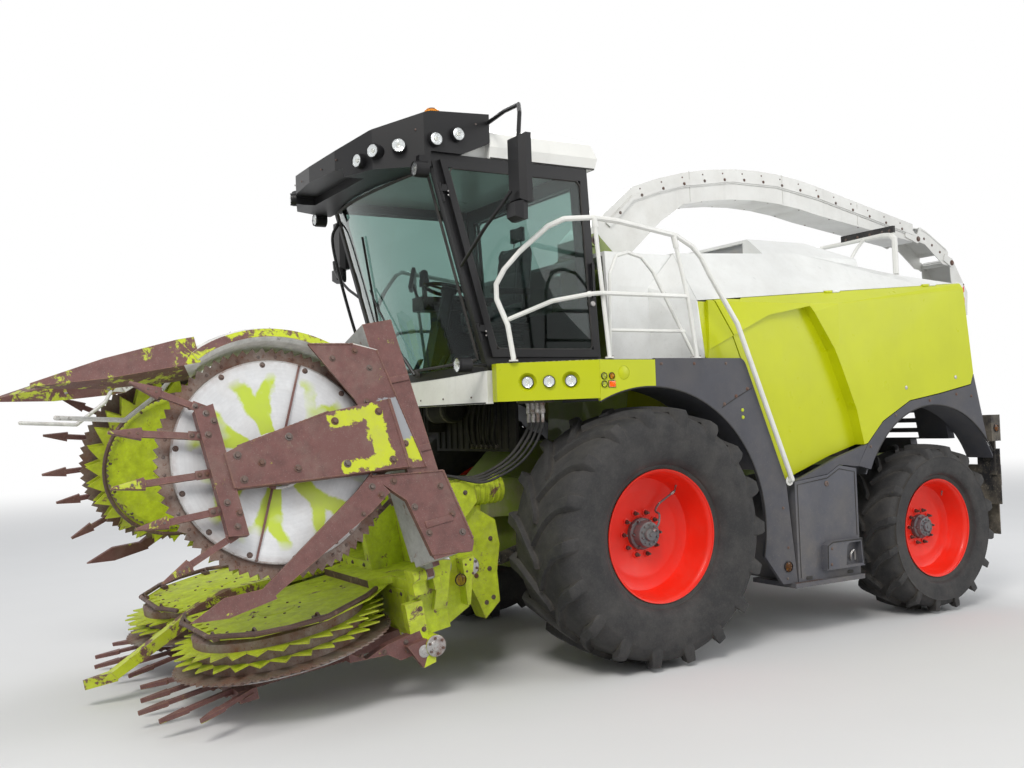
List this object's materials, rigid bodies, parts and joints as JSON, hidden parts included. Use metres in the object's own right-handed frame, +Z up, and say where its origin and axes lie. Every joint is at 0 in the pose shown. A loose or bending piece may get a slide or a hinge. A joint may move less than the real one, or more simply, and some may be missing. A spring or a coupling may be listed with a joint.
{
  "type": "forage harvester",
  "caption": "Self-propelled forage harvester with a folded rotary maize header, raised cab, swinging discharge chute and steered rear wheels.",
  "frame": {"origin": "on the ground under the middle of the whole length and width", "axes": "+X to the machine's left, -Y to the front, +Z up"},
  "size_m": [3.2772, 9.1784, 4.1631],
  "materials": {
    "green": "satin",
    "dark_green": "satin",
    "white": "satin",
    "grey": "satin",
    "black": "satin",
    "tyre": "satin",
    "rim": "satin",
    "rust": "satin",
    "steel": "satin",
    "glass": "satin",
    "fabric": "satin",
    "amber": "satin"
  },
  "bodies": {
    "machine": {"chassis_frame": "dark_green", "front_axle": "dark_green", "rear_axle": "grey", "engine_block": "grey", "chopper_housing": "dark_green", "hood_top": "white", "hood_rear": "grey", "cover_fronts": "green", "front_fenders": "grey", "platforms": "black", "side_boxes": "grey", "rear_arches": "grey", "rear_bumper": "black", "handrails": "white", "cab_frame": "black", "cab_roof": "white", "lamp_visor": "black", "cab_glass": "glass", "seat": "fabric", "console": "black", "cab_front_panel": "white", "lamp_fascias": "green", "mirrors": "black", "beacon": "amber", "chute_rest": "white"},
    "front_wheel_left": {"front_rim_left": "rim", "front_tyre_left": "tyre"},
    "front_wheel_right": {"front_rim_right": "rim", "front_tyre_right": "tyre"},
    "rear_wheel_left": {"rear_rim_left": "rim", "rear_tyre_left": "tyre"},
    "rear_wheel_right": {"rear_rim_right": "rim", "rear_tyre_right": "tyre"},
    "knuckle_left": {"knuckle_left": "grey"},
    "knuckle_right": {"knuckle_right": "grey"},
    "cover_left": {"side_cover_left": "green"},
    "cover_right": {"side_cover_right": "green"},
    "door": {"door_frame": "black", "door_glass": "glass"},
    "turntable": {"turntable": "white"},
    "chute": {"chute": "white"},
    "chute_flap": {"chute_flap": "white"},
    "chute_tip": {"chute_tip": "white"},
    "header": {"feed_housing": "green", "header_frame": "green", "header_dividers": "rust"},
    "wing_left": {"wing_frame_left": "rust", "wing_shield_left": "white"},
    "wing_right": {"wing_frame_right": "rust", "wing_shield_right": "white"},
    "centre_rotor_left": {"centre_rotor_left": "green"},
    "centre_rotor_right": {"centre_rotor_right": "green"},
    "wing_rotor_left": {"wing_rotor_left": "green"},
    "wing_rotor_right": {"wing_rotor_right": "green"},
    "lift_barrels": {"lift_barrels": "dark_green"},
    "lift_rods": {"lift_rods": "steel"}
  },
  "joints": [
    {"name": "steer_left", "type": "hinge", "parent": "machine", "child": "knuckle_left", "pos_m": [0.8, 2.33, 0.705], "axis": [0, 0, 1], "range_deg": [-45, 45]},
    {"name": "steer_right", "type": "hinge", "parent": "machine", "child": "knuckle_right", "pos_m": [-0.8, 2.33, 0.705], "axis": [0, 0, 1], "range_deg": [-45, 45]},
    {"name": "front_wheel_left_spin", "type": "hinge", "parent": "machine", "child": "front_wheel_left", "pos_m": [1.215, -0.67, 0.9], "axis": [1, 0, 0], "continuous": true},
    {"name": "rear_wheel_left_spin", "type": "hinge", "parent": "knuckle_left", "child": "rear_wheel_left", "pos_m": [1.2, 2.33, 0.705], "axis": [1, 0, 0], "continuous": true},
    {"name": "front_wheel_right_spin", "type": "hinge", "parent": "machine", "child": "front_wheel_right", "pos_m": [-1.215, -0.67, 0.9], "axis": [1, 0, 0], "continuous": true},
    {"name": "rear_wheel_right_spin", "type": "hinge", "parent": "knuckle_right", "child": "rear_wheel_right", "pos_m": [-1.2, 2.33, 0.705], "axis": [1, 0, 0], "continuous": true},
    {"name": "cover_left_lift", "type": "hinge", "parent": "machine", "child": "cover_left", "pos_m": [1.28845, 1.23, 2.66662], "axis": [-0.0639, -0.9952, -0.074], "range_deg": [0, 65]},
    {"name": "cover_right_lift", "type": "hinge", "parent": "machine", "child": "cover_right", "pos_m": [-1.28845, 1.23, 2.66662], "axis": [-0.0639, 0.9952, 0.074], "range_deg": [0, 65]},
    {"name": "door_open", "type": "hinge", "parent": "machine", "child": "door", "pos_m": [0.916, -1.67, 2.08], "axis": [0, 0.2609, -0.9654], "range_deg": [0, 20]},
    {"name": "chute_swing", "type": "hinge", "parent": "machine", "child": "turntable", "pos_m": [0, -0.12, 3], "axis": [0, 0, 1], "range_deg": [-100, 100]},
    {"name": "chute_lift", "type": "hinge", "parent": "turntable", "child": "chute", "pos_m": [0, -0.24, 3.18], "axis": [1, 0, 0], "range_deg": [0, 30]},
    {"name": "flap_fold", "type": "hinge", "parent": "chute", "child": "chute_flap", "pos_m": [0, 3.82, 3.43], "axis": [1, 0, 0], "range_deg": [0, 45]},
    {"name": "tip_fold", "type": "hinge", "parent": "chute_flap", "child": "chute_tip", "pos_m": [0, 4.34, 3.21], "axis": [1, 0, 0], "range_deg": [0, 45]},
    {"name": "header_lift", "type": "hinge", "parent": "machine", "child": "header", "pos_m": [0, -0.82, 1.25], "axis": [-1, 0, 0], "range_deg": [0, 20]},
    {"name": "lift_barrel_tilt", "type": "hinge", "parent": "machine", "child": "lift_barrels", "pos_m": [0, -0.89, 0.82], "axis": [-1, 0, 0], "range_deg": [0, 22.27]},
    {"name": "lift_rod_slide", "type": "slide", "parent": "lift_barrels", "child": "lift_rods", "axis": [0, -0.961, -0.2767], "range_m": [0, 0.1467]},
    {"name": "wing_left_fold", "type": "hinge", "parent": "header", "child": "wing_left", "pos_m": [1.24, -2.41908, 0.78394], "axis": [0, 0.9848, 0.1736], "range_deg": [0, 105]},
    {"name": "centre_rotor_left_spin", "type": "hinge", "parent": "header", "child": "centre_rotor_left", "pos_m": [0.7, -3.12, 0.44], "axis": [0, -0.1736, 0.9848], "continuous": true},
    {"name": "wing_rotor_left_spin", "type": "hinge", "parent": "wing_left", "child": "wing_rotor_left", "pos_m": [1.22702, -3.31168, 1.52709], "axis": [-0.9659, 0.0449, -0.2549], "continuous": true},
    {"name": "wing_right_fold", "type": "hinge", "parent": "header", "child": "wing_right", "pos_m": [-1.24, -2.41908, 0.78394], "axis": [0, -0.9848, -0.1736], "range_deg": [0, 105]},
    {"name": "centre_rotor_right_spin", "type": "hinge", "parent": "header", "child": "centre_rotor_right", "pos_m": [-0.7, -3.12, 0.44], "axis": [0, -0.1736, 0.9848], "continuous": true},
    {"name": "wing_rotor_right_spin", "type": "hinge", "parent": "wing_right", "child": "wing_rotor_right", "pos_m": [-1.22702, -3.31168, 1.52709], "axis": [0.9659, 0.0449, -0.2549], "continuous": true}
  ],
  "couplings": [
    {"joint": "steer_right", "follows": "steer_left", "ratio": 1},
    {"joint": "tip_fold", "follows": "flap_fold", "ratio": 1},
    {"joint": "wing_right_fold", "follows": "wing_left_fold", "ratio": 1},
    {"joint": "lift_barrel_tilt", "follows": "header_lift", "ratio": 1.1133},
    {"joint": "lift_rod_slide", "follows": "header_lift", "m_per_rad": 0.42033}
  ]
}
